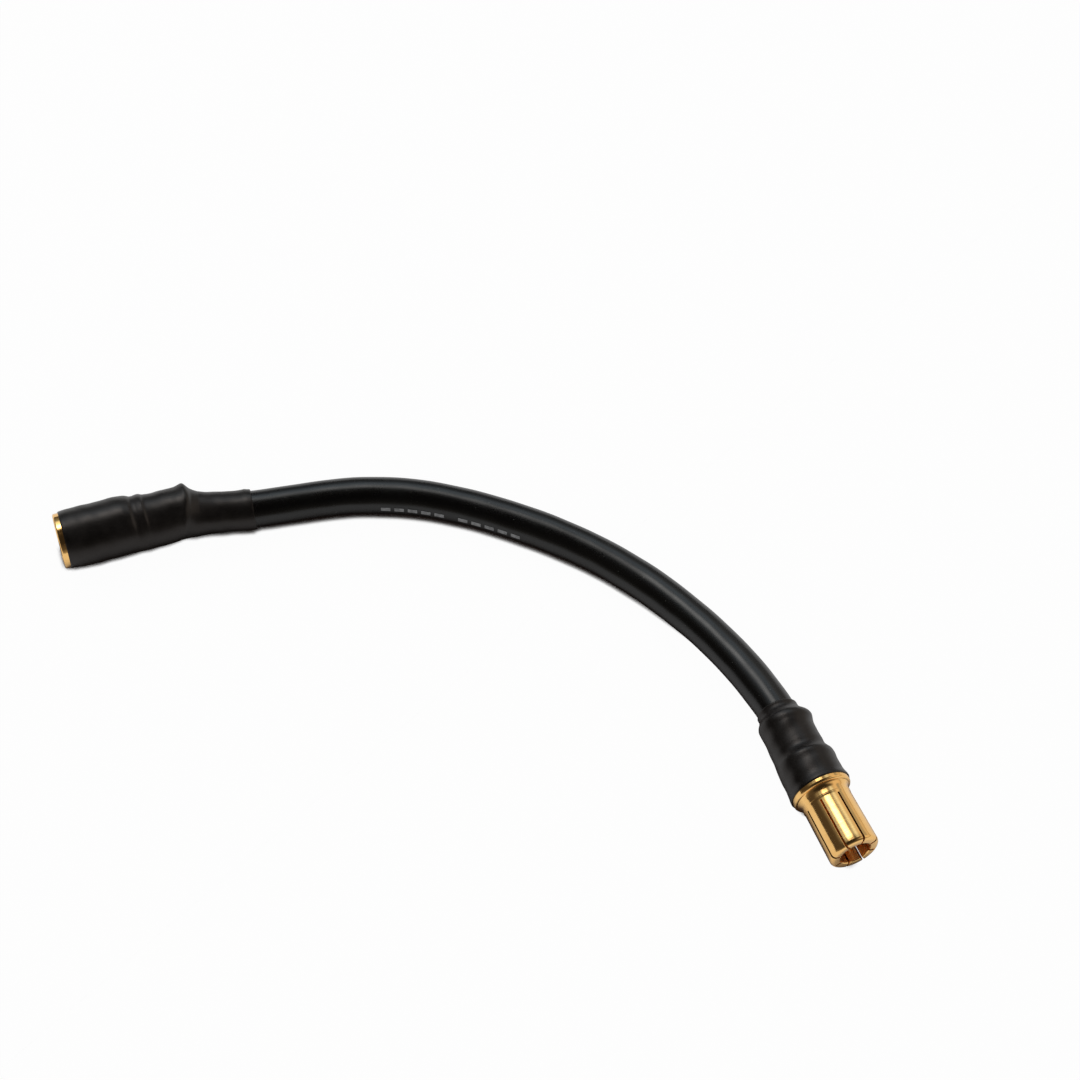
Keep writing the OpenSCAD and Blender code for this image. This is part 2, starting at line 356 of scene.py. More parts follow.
def sleeve_material():
    s = Shader("heat shrink")
    mottle = s.noise(330, 5, 0.65)
    grain = s.noise(5200, 3, 0.6)
    scuffs = s.noise(900, 3, 0.7, "Object", (1.0, 0.25, 0.6))
    color = s.mix(s.span(mottle, 0.35, 0.7, 0, 1),
                  rgb(0.003, 0.0023, 0.002), rgb(0.0075, 0.006, 0.0055))
    color = s.mix(s.span(scuffs, 0.68, 0.8, 0, 0.2), color, rgb(0.06, 0.058, 0.058))
    rough = s.span(mottle, 0.3, 0.75, 0.3, 0.45)
    skin = s.bump(mottle, 0.05 * MM, 0.35)
    normal = s.bump(grain, 0.01 * MM, 0.35, skin)
    return s.set(Base_Color=color, Roughness=rough, Specular_IOR_Level=0.36,
                 Specular_Tint=rgb(1.0, 0.92, 0.88), Normal=normal)


def silicone_material():
    s = Shader("silicone")
    cloud = s.noise(180, 4, 0.6)
    specks = s.noise(2400, 2, 0.4)
    color = s.mix(s.span(specks, 0.735, 0.78, 0, 0.5),
                  rgb(0.0012, 0.001, 0.0009), rgb(0.09, 0.09, 0.08))
    rough = s.span(cloud, 0.3, 0.75, 0.24, 0.32)
    skin = s.bump(cloud, 0.04 * MM, 0.3)
    normal = s.bump(s.noise(3800, 2, 0.5), 0.006 * MM, 0.3, skin)
    return s.set(Base_Color=color, Roughness=rough, Specular_IOR_Level=0.4, Normal=normal)


def print_material():
    s = Shader("wire marks")
    worn = s.noise(1500, 3, 0.6)
    color = s.mix(s.span(worn, 0.4, 0.7, 0, 1), rgb(0.27, 0.27, 0.27), rgb(0.12, 0.12, 0.12))
    return s.set(Base_Color=color, Roughness=0.5)


def copper_material():
    s = Shader("copper strands")
    strand = s.noise(1500, 2, 0.5, "Object", (1.0, 1.0, 0.2))
    color = s.mix(strand, rgb(0.72, 0.36, 0.18), rgb(0.9, 0.55, 0.36))
    return s.set(Base_Color=color, Metallic=1.0, Roughness=s.span(strand, 0.3, 0.7, 0.25, 0.4),
                 Normal=s.bump(strand, 0.08 * MM, 0.6))


def solder_material():
    s = Shader("solder")
    flow = s.noise(500, 4, 0.6)
    color = s.mix(flow, rgb(0.5, 0.5, 0.52), rgb(0.68, 0.68, 0.7))
    return s.set(Base_Color=color, Metallic=1.0, Roughness=s.span(flow, 0.3, 0.7, 0.25, 0.45),
                 Normal=s.bump(flow, 0.06 * MM, 0.5))


GOLD = gold_material()
GOLD_INSIDE = gold_inside_material()
SLEEVE = sleeve_material()
SILICONE = silicone_material()
PRINT = print_material()
COPPER = copper_material()
SOLDER = solder_material()

# ---- Wire ----

LOWEST = 0.005 * MM            # nothing soft goes below the floor
WIRE_SIDES = 72
WIRE_RING = 0.55 * MM          # spacing of the jacket's rings
WIRE_SLACK = 0.03 * MM         # room for the dents, under the CAD jacket's skin
END_ROUND = 0.08 * MM


def make_wire():
    count = int((WIRE_L - 2 * BARE_L) / WIRE_RING)
    along = np.linspace(BARE_L, WIRE_L - BARE_L, count)
    path = on_wire(along)
    angles = around(WIRE_SIDES)
    dents = wave((0.018 * MM, 42, 2, 0.4), (0.012 * MM, 95, 1, 1.9), (0.008 * MM, 160, 3, 4.0))
    outer = WIRE_R - WIRE_SLACK + dents(along[:, None], angles[None, :])
    outer[0] -= END_ROUND
    outer[-1] -= END_ROUND
    shell = np.concatenate([rings_on(path, outer, angles),
                            rings_on(path, STRANDS_R, angles)[::-1]])
    shell[..., 2] = np.maximum(shell[..., 2], LOWEST)
    stations = np.concatenate([along, along[::-1]])
    piece = add_piece("wire", shell.reshape(-1, 3), ring_faces(2 * count, WIRE_SIDES, wrap=True),
                      SILICONE, ring_uv(2 * count, WIRE_SIDES, stations))
    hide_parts("wire_jacket")


# ---- Contacts ----


def arc(centre, radius, start, end, steps=8):
    """Points of an arc in the half section, as (r, z). Angles in degrees."""
    a = np.radians(np.linspace(start, end, steps))
    return [(centre[0] + radius * math.cos(x), centre[1] + radius * math.sin(x)) for x in a]


def contact_frame(turn):
    """A contact's directions: ahead along its axis, to its side and up."""
    ahead = heading(turn)
    side = unit(np.cross(ahead, UP))
    return ahead, side, np.cross(side, ahead)


def contact_points(section, angles, at, turn):
    """Points of a turned section, (r, z) by angle, laid along a contact's axis."""
    ahead, side, up = contact_frame(turn)
    r, z = (np.asarray(section)[..., k] for k in (0, 1))
    across = np.cos(angles)[..., None] * up + np.sin(angles)[..., None] * side
    return at + z[..., None] * ahead + r[..., None] * across


NEAR_AXIS = 0.01 * MM          # points this near an axis become one in clean()
JOIN_WITHIN = 0.02 * MM
EDGE = 0.2 * MM                # bevel of the cups, the bead and the hollow's mouth
RIM_ROUND = 0.42 * MM
RIM_DROP = 0.02 * MM           # the rim's back edge is this much lower
RIM_SLOPE_L = 0.3 * MM         # from the collar up to the rim
PIN_TAPER = 0.13 * MM          # the fingers flare by this much from root to tip
NECK_PROUD = 0.06 * MM         # the neck's radius over that of the fingers' roots
NECK_LINE = [(0.03, 0), (0.1, 0.05), (0.22, 0.05)]   # mm past ROOT_AT, mm under the neck
NECK_FRONT = 0.28 * MM


def plug_section():
    """Half section of the plug behind its slots, from the cup's floor to the slots' feet."""
    foot_r = PIN_R + NECK_PROUD - PIN_TAPER
    cove_h = RIM_R - RIM_ROUND - foot_r
    cove_l = COVE_END - RIM_FRONT
    cove_r = (cove_l**2 + cove_h**2) / (2 * cove_h)
    turn = math.degrees(math.asin(cove_l / cove_r))
    cove = arc((foot_r + cove_r, COVE_END), cove_r, 180 + turn, 180, 14)
    return ([(NEAR_AXIS, CUP_DEPTH), (CUP_BORE_R, CUP_DEPTH), (CUP_BORE_R, 0), (CUP_R - EDGE, 0),
             (CUP_R, EDGE), (CUP_R, PLUG_CUP_L), (COLLAR_R, PLUG_CUP_L + COLLAR_R - CUP_R),
             (COLLAR_R, RIM_BACK - RIM_SLOPE_L), (RIM_R - RIM_DROP, RIM_BACK)]
            + arc((RIM_R - RIM_ROUND, RIM_FRONT - RIM_ROUND), RIM_ROUND, 0, 90, 12)
            + cove
            + [(foot_r - deep * MM, ROOT_AT + past * MM) for past, deep in NECK_LINE]
            + [(PIN_R - PIN_TAPER, ROOT_AT + NECK_FRONT)])


FINGER_COLUMNS = 16
SLOT_EDGE = 0.04 * MM          # softened edge of a saw cut
EDGE_STRIP = 0.03 * MM         # flat strip beside it
HOLLOW_AT = SLOTS_AT - TIP_R
HOLLOW_EDGE = 0.15 * MM        # bevel round the hollow's floor


def finger_loop(inset):
    """Half section of a finger, out along the pin, over the tip and back along the hollow."""
    outer = [(PIN_R - PIN_TAPER * (1 - t) - inset, SLOTS_AT + t * (PLUG_L - TIP_R - SLOTS_AT))
             for t in np.linspace(0, 1, 12)]
    tip = arc((PIN_R - TIP_R, PLUG_L - TIP_R), TIP_R - inset, 0, 90, 10)[1:]
    inner_r, mouth_at = HOLLOW_R + inset, PLUG_L - EDGE - inset
    mouth = arc((inner_r + EDGE, mouth_at), EDGE, 90, 180, 6)
    inner = [(inner_r, mouth_at - t * (mouth_at - SLOTS_AT)) for t in np.linspace(0, 1, 10)][1:]
    return np.array(outer + tip + mouth + inner)


def make_plug():
    sector = 2 * math.pi / FINGERS
    loop, cut_loop = finger_loop(0), finger_loop(SLOT_EDGE)
    points, faces = [], []

    def put(rows):
        first = len(points)
        points.extend(np.asarray(rows).reshape(-1, 3))
        return first

    def columns(r):
        """Angles round the pin at radius r of each finger's columns, between its slots' edges."""
        half = math.asin((SLOT_W / 2 + SLOT_EDGE) / r)
        strip = EDGE_STRIP / r
        inside = np.linspace(half + strip, sector - half - strip, FINGER_COLUMNS - 2)
        finger = np.concatenate([[half], inside, [sector - half]])
        return np.concatenate([SLOT_TURN + f * sector + finger for f in range(FINGERS)])

    # Turned body behind the slots, then the hollow's wall and floor, on the fingers' own columns
    body = np.array(plug_section() + [tuple(loop[0])])
    sides = FINGERS * FINGER_COLUMNS
    body_first = put(contact_points(body[:, None, :], columns(loop[0][0])[None, :],
                                    PLUG_AT, PLUG_TURN))
    faces += ring_faces(len(body), sides, body_first)
    hollow = np.array([loop[-1], (HOLLOW_R, HOLLOW_AT + HOLLOW_EDGE),
                       (HOLLOW_R - HOLLOW_EDGE, HOLLOW_AT), (NEAR_AXIS, HOLLOW_AT)])
    hollow_first = put(contact_points(hollow[:, None, :], columns(HOLLOW_R)[None, :],
                                      PLUG_AT, PLUG_TURN))
    faces += ring_faces(len(hollow), sides, hollow_first)
    outer_foot = body_first + (len(body) - 1) * sides

    def edge(f, end):
        """The loop cut back at a slot's wall: points at one side of finger f."""
        sign = 1 if end == 0 else -1
        middle = SLOT_TURN + (f + end) * sector
        angles = middle + sign * np.arcsin(SLOT_W / 2 / cut_loop[:, 0])
        return put(contact_points(cut_loop, angles, PLUG_AT, PLUG_TURN))

    starts, ends = [], []
    n, last = len(loop), FINGER_COLUMNS - 1
    for f in range(FINGERS):
        # Each finger's skin is a strip of columns, with its feet on the body and the hollow
        angles = np.stack([columns(r)[f * FINGER_COLUMNS:(f + 1) * FINGER_COLUMNS]
                           for r, _ in loop])
        skin_first = put(contact_points(loop[1:-1, None, :], angles[1:-1], PLUG_AT, PLUG_TURN))

        def at(i, j, skin=skin_first, f=f):
            """Number of the point in row i of the loop and column j of the finger."""
            if i == 0:
                return outer_foot + f * FINGER_COLUMNS + j
            if i == n - 1:
                return hollow_first + f * FINGER_COLUMNS + j
            return skin + (i - 1) * FINGER_COLUMNS + j

        for i in range(n - 1):
            faces += [(at(i, j), at(i, j + 1), at(i + 1, j + 1), at(i + 1, j))
                      for j in range(FINGER_COLUMNS - 1)]
        a, b = edge(f, 0), edge(f, 1)
        starts.append((a, at))
        ends.append((b, at))
        for i in range(n - 1):
            faces.append((a + i, at(i, 0), at(i + 1, 0), a + i + 1))
            faces.append((at(i, last), b + i, b + i + 1, at(i + 1, last)))
        faces.append(tuple(range(a, a + n)))
        faces.append(tuple(range(b + n - 1, b - 1, -1)))
    for f in range(FINGERS):
        # The slot's foot, between one finger's end and the next one's start
        (b, at_b), (a, at_a) = ends[f], starts[(f + 1) % FINGERS]
        faces.append((at_b(0, last), at_a(0, 0), a, b))
        faces.append((b, a, a + n - 1, b + n - 1))
        faces.append((b + n - 1, a + n - 1, at_a(n - 1, 0), at_b(n - 1, last)))
    piece = add_piece("bullet_plug", points, faces, GOLD)
    add_axis_uv(piece, PLUG_AT, PLUG_TURN)
    clean(piece)
    dull_hollow(piece)
    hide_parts("plug_contact")


def dull_hollow(piece):
    """Gives the faces of the plug's hollow their own plating."""
    behind, outside = 0.1 * MM, 0.02 * MM    # slack in where the faces' middles lie
    piece.data.materials.append(GOLD_INSIDE)
    ahead = heading(PLUG_TURN)
    for face in piece.data.polygons:
        off = np.array(face.center) - PLUG_AT
        along = off @ ahead
        radius = np.linalg.norm(off - along * ahead)
        if along > HOLLOW_AT - behind and radius < HOLLOW_R + outside:
            face.material_index = 1


def add_axis_uv(piece, at, turn):
    """UVs of a turned piece: centimetres along its axis by turns round it."""
    mesh = piece.data
    ahead, side, up = contact_frame(turn)
    co = np.zeros(len(mesh.vertices) * 3)
    mesh.vertices.foreach_get("co", co)
    co = co.reshape(-1, 3) - at
    uv = np.stack([co @ ahead * 100, np.arctan2(co @ side, co @ up) / (2 * math.pi) + 0.5], axis=1)
    index = np.zeros(len(mesh.loops), int)
    mesh.loops.foreach_get("vertex_index", index)
    layer = mesh.uv_layers.get("UVMap") or mesh.uv_layers.new(name="UVMap")
    layer.data.foreach_set("uv", uv[index].ravel())


def clean(piece):
    """Joins the points that meet on an axis and turns the faces outwards."""
    bm = bmesh.new()
    bm.from_mesh(piece.data)
    bmesh.ops.remove_doubles(bm, verts=bm.verts, dist=JOIN_WITHIN)
    bmesh.ops.recalc_face_normals(bm, faces=bm.faces)
    bm.to_mesh(piece.data)
    bm.free()


LATHE_SIDES = 144
LIP_L = 3 * MM                 # front of the barrel, the part that shows
LIP_ROUND = 0.25 * MM
BORE_MOUTH = 0.1 * MM          # bevel of the bore's mouth
BORE_EDGE = 0.3 * MM           # bevel round its floor


def make_socket():
    section = ([(NEAR_AXIS, CUP_DEPTH), (CUP_BORE_R, CUP_DEPTH), (CUP_BORE_R, 0), (CUP_R - EDGE, 0),
                (CUP_R, EDGE), (CUP_R, SOCKET_CUP_L), (BEAD_R - EDGE, SOCKET_CUP_L),
                (BEAD_R, SOCKET_CUP_L + EDGE), (BEAD_R, BEAD_FRONT - EDGE),
                (BEAD_R - EDGE, BEAD_FRONT), (CUP_R, BEAD_FRONT), (CUP_R, BARREL_BACK),
                (BARREL_R, BARREL_BACK + BARREL_R - CUP_R), (BARREL_R, SOCKET_L - LIP_L)]
               + arc((BARREL_R - LIP_ROUND, SOCKET_L - LIP_ROUND), LIP_ROUND, 0, 90, 8)
               + [(BORE_R + BORE_MOUTH, SOCKET_L), (BORE_R, SOCKET_L - BORE_MOUTH),
                  (BORE_R, BORE_AT + BORE_EDGE), (BORE_R - BORE_EDGE, BORE_AT),
                  (NEAR_AXIS, BORE_AT)])
    section = np.array(section)
    points = contact_points(section[:, None, :], around(LATHE_SIDES)[None, :],
                            SOCKET_AT, SOCKET_TURN)
    piece = add_piece("bullet_socket", points.reshape(-1, 3),
                      ring_faces(len(section), LATHE_SIDES), GOLD)
    add_axis_uv(piece, SOCKET_AT, SOCKET_TURN)
    clean(piece)
    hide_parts("socket_contact")


# ---- Heat-shrink sleeves ----

SLEEVE_SIDES = 120
SLEEVE_RING = 0.12 * MM        # spacing of the rings
SLEEVE_WALL = 0.2 * MM
SLEEVE_LIP = 0.06 * MM         # softened edge of a cut end
SLEEVE_SHARP = 50              # degrees; only the cut ends are sharper


def knots(table, d):
    """Smooth radius along a sleeve from its few (distance, radius) knots, in millimetres."""
    x, y = np.array(table).T * MM
    slopes = np.gradient(y, x)
    i = np.clip(np.searchsorted(x, d) - 1, 0, len(x) - 2)
    h = x[i + 1] - x[i]
    t = np.clip((d - x[i]) / h, 0, 1)
    return ((2 * t**3 - 3 * t**2 + 1) * y[i] + (t**3 - 2 * t**2 + t) * h * slopes[i]
            + (-2 * t**3 + 3 * t**2) * y[i + 1] + (t**3 - t**2) * h * slopes[i + 1])


def bell(x, middle, width):
    """A bump of height 1."""
    return np.exp(-(((x - middle) / width) ** 2))


def off_turn(a, turn):
    """Angles a round a ring as seen from turn, which is in degrees."""
    return np.angle(np.exp(1j * (a - math.radians(turn))))


def turn_bell(a, turn, spread):
    """A bump round a ring of angles, at turn in degrees and of a spread in radians."""
    return np.exp(-((off_turn(a, turn) / spread) ** 2))


def make_sleeve(name, node, centres_of, ends, outer_of, slant_of):
    """One sleeve in place of a CAD node. outer_of gives the radius and slant_of the slide along
    the line, by distance along it and angle round it."""
    low, high = ends
    count = int((high - low) / SLEEVE_RING)
    d = np.linspace(low, high, count)
    centres = centres_of(d)
    angles = around(SLEEVE_SIDES)
    slide = slant_of(d[:, None], angles[None, :])
    outer = outer_of(d[:, None] + slide, angles[None, :])
    inner = outer - SLEEVE_WALL
    outer[0] -= SLEEVE_LIP
    outer[-1] -= SLEEVE_LIP
    shell = np.concatenate([rings_on(centres, outer, angles, slide),
                            rings_on(centres, inner, angles, slide)[::-1]])
    shell[..., 2] = np.maximum(shell[..., 2], LOWEST)
    stations = np.concatenate([d, d[::-1]])
    piece = add_piece(name, shell.reshape(-1, 3), ring_faces(2 * count, SLEEVE_SIDES, wrap=True),
                      SLEEVE, ring_uv(2 * count, SLEEVE_SIDES, stations),
                      SLEEVE_SHARP)
    clean(piece)
    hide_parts(node)


# Outer radius by distance along each sleeve, in millimetres, on its ridged and on its smooth side
PLUG_RIDGED = [(-2.5, 3.24), (-2.2, 3.3), (-1.8, 3.27), (-1.4, 3.3), (-1, 3.44), (-0.55, 3.76),
               (-0.1, 4.06), (0.4, 4.2), (1.5, 4.14), (3, 4.07), (5, 4.05), (6.3, 4.1),
               (6.8, 4.3), (7.3, 4.55), (7.9, 4.64), (9, 4.61), (10.5, 4.63), (11.8, 4.7),
               (12.5, 4.84), (13.1, 4.88)]
PLUG_SMOOTH = [(-2.5, 3.24), (-2.2, 3.28), (-1.8, 3.27), (-1.4, 3.34), (-1, 3.52),
               (-0.55, 3.84), (-0.1, 4.02), (0.4, 4.05), (1.5, 4.03), (3, 4.1), (5, 4.27),
               (6.4, 4.43), (7.2, 4.52), (8.1, 4.58), (9, 4.62), (10.5, 4.67), (11.8, 4.74),
               (12.5, 4.85), (13.1, 4.88)]
SOCKET_RIDGED = [(-11, 3.27), (-10.4, 3.28), (-8.5, 3.24), (-6, 3.25), (-4.5, 3.27),
                 (-3, 3.33), (-2, 3.41), (-1.2, 3.54), (-0.6, 3.76), (-0.2, 4.0), (0.2, 4.2),
                 (0.6, 4.14), (1.1, 4.04), (2, 3.98), (3.5, 3.98), (5.2, 4.04), (5.9, 4.14),
                 (6.25, 4.3), (6.6, 4.35), (7, 4.3), (7.4, 4.22), (7.9, 4.27), (8.25, 4.44),
                 (8.6, 4.58), (9.2, 4.7), (10, 4.75), (12, 4.74), (16, 4.76), (17.6, 4.74),
                 (18.6, 4.66), (19.1, 4.6), (19.4, 4.56)]
SOCKET_SMOOTH = [(-11, 3.28), (-10.4, 3.29), (-8.5, 3.28), (-6, 3.34), (-4, 3.52), (-2, 3.92),
                 (-1, 4.2), (0, 4.44), (2, 4.62), (4, 4.7), (6, 4.72), (8, 4.73), (9.2, 4.74),
                 (10, 4.75), (12, 4.75), (16, 4.76), (17.6, 4.74), (18.6, 4.66), (19.1, 4.6),
                 (19.4, 4.56)]

# Sides of the sleeves: where round them in degrees, and how far round in radians
PLUG_SMOOTH_SIDE = (-25, 1.1)
PLUG_LATE_SIDE = (160, 1.2)
PLUG_SLANT_SIDE = (165, 1.3)
SOCKET_SMOOTH_SIDE = (213, 1.2)
SOCKET_SLANT_SIDE = (213, 1.2)

# How far a cut end slants on its side, and the length over which that fades out
PLUG_SLANT, SOCKET_SLANT = 0.7 * MM, -0.4 * MM
SLANT_L = 2.5 * MM

# On their late side, the plug's ridges come this much later, up to the second distance
RIDGES_LATE = 0.3 * MM
LATE_FADES, LATE_ENDS = 9 * MM, 11 * MM

# Swellings and short folds in the skin: distance, height and half-length in millimetres, then
# their side as above
PLUG_BULGE = (0.8, 0.26, 1.0, 160, 0.7)
SOCKET_PEAK = (0.22, 0.36, 0.45, 48, 0.75)
PLUG_FOLDS = [(7.7, 0.06, 0.45, 95, 0.5), (-1.9, 0.05, 0.3, 120, 0.8)]
SOCKET_FOLDS = [(8.4, 0.07, 0.2, 100, 0.55), (6.35, 0.08, 0.2, 95, 0.6),
                (-0.15, 0.13, 0.27, 95, 0.42), (-9.9, 0.05, 0.35, 40, 0.9)]
FOLD_BOW = 0.35                # millimetres that a fold bends back, a radian off its middle

sleeve_waves = wave((0.028 * MM, 110, 1, 0.3), (0.02 * MM, 240, 2, 2.2),
                    (0.014 * MM, 390, 3, 5.1))


def swelling(d, a, at, height, half, turn, spread, bow=0.0):
    """Height of one swelling. With a bow it bends away from a straight ring."""
    off = off_turn(a, turn)
    across = bell(d, (at - bow * off**2) * MM, half * MM)
    return height * MM * across * bell(off, 0, spread)


def folds(table, d, a):
    return sum(swelling(d, a, *row, FOLD_BOW) for row in table)


def skin(d, a, ridged, even, side):
    """Radius of a sleeve by its two tables, the even one on the given side."""
    share = turn_bell(a, *side)
    return knots(ridged, d) * (1 - share) + knots(even, d) * share


def slanting(end, slide, side):
    """A slide along the sleeve that gives its cut end at that distance a slant."""
    return lambda d, a: slide * (1 - smooth(d, end, end + SLANT_L)) * turn_bell(a, *side)


def plug_sleeve_radius(d, a):
    d = d - RIDGES_LATE * turn_bell(a, *PLUG_LATE_SIDE) * (1 - smooth(d, LATE_FADES, LATE_ENDS))
    return (skin(d, a, PLUG_RIDGED, PLUG_SMOOTH, PLUG_SMOOTH_SIDE) + swelling(d, a, *PLUG_BULGE)
            + sleeve_waves(d, a) + folds(PLUG_FOLDS, d, a))


def socket_sleeve_radius(d, a):
    return (skin(d, a, SOCKET_RIDGED, SOCKET_SMOOTH, SOCKET_SMOOTH_SIDE)
            + swelling(d, a, *SOCKET_PEAK) + sleeve_waves(d, a) + folds(SOCKET_FOLDS, d, a))


def make_sleeves():
    make_sleeve("plug_sleeve_shrunk", "plug_sleeve",
                lambda d: sleeve_line(d, plug_axis, lambda s: on_wire(WIRE_L - s)),
                (PLUG_SLEEVE_FROM, PLUG_SLEEVE_TO), plug_sleeve_radius,
                slanting(PLUG_SLEEVE_FROM, PLUG_SLANT, PLUG_SLANT_SIDE))
    make_sleeve("socket_sleeve_shrunk", "socket_sleeve",
                lambda d: sleeve_line(d, socket_axis, on_wire),
                (SOCKET_SLEEVE_FROM, SOCKET_SLEEVE_TO), socket_sleeve_radius,
                slanting(SOCKET_SLEEVE_FROM, SOCKET_SLANT, SOCKET_SLANT_SIDE))


# ---- Pale marks along the wire ----

MARK_GROUPS = [(0.0318, 0.0432), (0.0451, 0.0566)]   # from and to, metres from the socket's cup
MARK_TURN = math.radians(9)
MARK_HALF = 0.12               # radians
MARK_L, MARK_GAP = 1.6 * MM, 0.7 * MM
MARK_LIFT = 0.012 * MM
MARK_ROWS, MARK_COLUMNS = 5, 4


def make_marks():
    """Two groups of short plain dashes, where the wire of such a lead carries print."""
    points, faces = [], []
    angles = MARK_TURN + np.linspace(-MARK_HALF, MARK_HALF, MARK_COLUMNS + 1)
    row = len(angles)
    for start, end in MARK_GROUPS:
        for s in np.arange(start, end - MARK_L, MARK_L + MARK_GAP):
            along = np.linspace(s, s + MARK_L, MARK_ROWS + 1)
            first = len(points)
            points.extend(rings_on(on_wire(along), WIRE_R + MARK_LIFT, angles).reshape(-1, 3))
            corners = [first + i * row + j for i in range(MARK_ROWS) for j in range(MARK_COLUMNS)]
            faces += [(c, c + 1, c + row + 1, c + row) for c in corners]
    add_piece("wire_marks", points, faces, PRINT)


make_wire()
make_plug()
make_socket()
make_sleeves()
make_marks()

# CAD nodes that stay, with a look of their own. The socket's hidden solder keeps its plain one.
for node, look in (("wire_strands", COPPER), ("plug_solder", SOLDER)):
    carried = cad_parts[node].data
    carried.materials.clear()
    carried.materials.append(look)

# ---- Studio ----

FLOOR_SIZE = 6.0
FLOOR_SHADE = 0.97             # share of plain white in the floor, over its lit colour
MIRRORED_SHADE = 0.75          # the same where the object mirrors the floor
# How near the object the white fades out and the floor's colour is painted dark as a shadow: reach,
# and openness at which it is gone and is whole
NEAR_SHADOW = (1.1 * MM, 0.56, 0.88)
MIRRORED_SHADOW = (14 * MM, 0.68, 0.97)
AO_SAMPLES = 8
# SHADOW_COLOR is a painted shadow: the floor's colour turns to it where the object is near
SHADOW_COLOR, FLOOR_COLOR = (0.1, 0.07, 0.06), (0.86, 0.82, 0.79)
SKY_COLOR, SKY_STRENGTH = (0.9, 0.95, 1.0), 0.35
BACKGROUND = (0.98, 0.98, 0.98)


def make_floor():
    """A pale floor that shows white around the object and keeps a shadow under it: the lamps' own
    shadow, and a painted shadow that darkens its colour where the object stands near.
    """
    material = bpy.data.materials.new("floor")
    material.use_nodes = True
    tree = material.node_tree
    nodes, links = tree.nodes, tree.links
    nodes.clear()

    def math_node(operation, a, b):
        made = nodes.new("ShaderNodeMath")
        made.operation = operation
        links.new(a, made.inputs[0])
        links.new(b, made.inputs[1])
        return made.outputs[0]

    def openness(reach, low, high):
        """A share of white that fades out where the object stands over the floor. The same share
        sets the painted shadow in the floor's colour.
        """
        near = nodes.new("ShaderNodeAmbientOcclusion")
        near.inputs["Distance"].default_value = reach
        near.samples = AO_SAMPLES
        made = nodes.new("ShaderNodeMapRange")
        made.inputs["From Min"].default_value = low
        made.inputs["From Max"].default_value = high
        links.new(near.outputs["AO"], made.inputs["Value"])
        return made.outputs[0]

    plain = nodes.new("ShaderNodeBsdfDiffuse")
    # Painted shadow: the floor's own colour darkens from FLOOR_COLOR to SHADOW_COLOR where the
    # object closes it in
    shade = nodes.new("ShaderNodeMix")
    shade.data_type = "RGBA"
    shade.inputs[6].default_value = rgb(*SHADOW_COLOR)
    shade.inputs[7].default_value = rgb(*FLOOR_COLOR)
    links.new(shade.outputs[2], plain.inputs["Color"])
    white = nodes.new("ShaderNodeEmission")
    path = nodes.new("ShaderNodeLightPath").outputs
    mirrored = math_node("MAXIMUM", path["Is Glossy Ray"], path["Is Transmission Ray"])
    close, wide = openness(*NEAR_SHADOW), openness(*MIRRORED_SHADOW)
    around_it = nodes.new("ShaderNodeMix")
    for key, value in (("Factor", mirrored), ("A", close), ("B", wide)):
        links.new(value, around_it.inputs[key])
    open_floor = around_it.outputs["Result"]
    links.new(open_floor, shade.inputs["Factor"])
    most = nodes.new("ShaderNodeMix")
    links.new(mirrored, most.inputs["Factor"])
    most.inputs["A"].default_value = FLOOR_SHADE
    most.inputs["B"].default_value = MIRRORED_SHADE
    in_sight = math_node("MAXIMUM", path["Is Camera Ray"], mirrored)
    open_in_sight = math_node("MULTIPLY", in_sight, open_floor)
    share = math_node("MULTIPLY", open_in_sight, most.outputs["Result"])
    mix = nodes.new("ShaderNodeMixShader")
    links.new(share, mix.inputs[0])
    links.new(plain.outputs[0], mix.inputs[1])
    links.new(white.outputs[0], mix.inputs[2])
    out = nodes.new("ShaderNodeOutputMaterial")
    links.new(mix.outputs[0], out.inputs[0])
    h = FLOOR_SIZE / 2
    mesh = bpy.data.meshes.new("floor")
    mesh.from_pydata([(-h, -h, 0), (h, -h, 0), (h, h, 0), (-h, h, 0)], [], [(0, 1, 2, 3)])
    mesh.materials.append(material)
    floor = bpy.data.objects.new("floor", mesh)
    bpy.context.scene.collection.objects.link(floor)


def make_world():
    """A dim pale sky that lights the object, white where it is seen or mirrored."""
    world = bpy.data.worlds.new("studio")
    world.use_nodes = True
    tree = world.node_tree
    tree.nodes.clear()
    plain = tree.nodes.new("ShaderNodeBackground")
    plain.inputs["Color"].default_value = rgb(*SKY_COLOR)
    plain.inputs["Strength"].default_value = SKY_STRENGTH
    white = tree.nodes.new("ShaderNodeBackground")
    white.inputs["Color"].default_value = rgb(*BACKGROUND)
    path = tree.nodes.new("ShaderNodeLightPath").outputs
    seen = path["Is Camera Ray"]
    for other in ("Is Glossy Ray", "Is Transmission Ray"):
        either = tree.nodes.new("ShaderNodeMath")
        either.operation = "MAXIMUM"
        tree.links.new(seen, either.inputs[0])
        tree.links.new(path[other], either.inputs[1])
        seen = either.outputs[0]
    mix = tree.nodes.new("ShaderNodeMixShader")
    tree.links.new(seen, mix.inputs[0])
    tree.links.new(plain.outputs[0], mix.inputs[1])
    tree.links.new(white.outputs[0], mix.inputs[2])
    out = tree.nodes.new("ShaderNodeOutputWorld")
    tree.links.new(mix.outputs[0], out.inputs[0])
    bpy.context.scene.world = world


def spot(azimuth, elevation, distance):
    """A point round the middle of the lead. Azimuth 0 is the camera's side, 90 the right."""
    a, e = math.radians(azimuth), math.radians(elevation)
    return Vector((math.sin(a) * math.cos(e), -math.cos(a) * math.cos(e), math.sin(e))) * distance


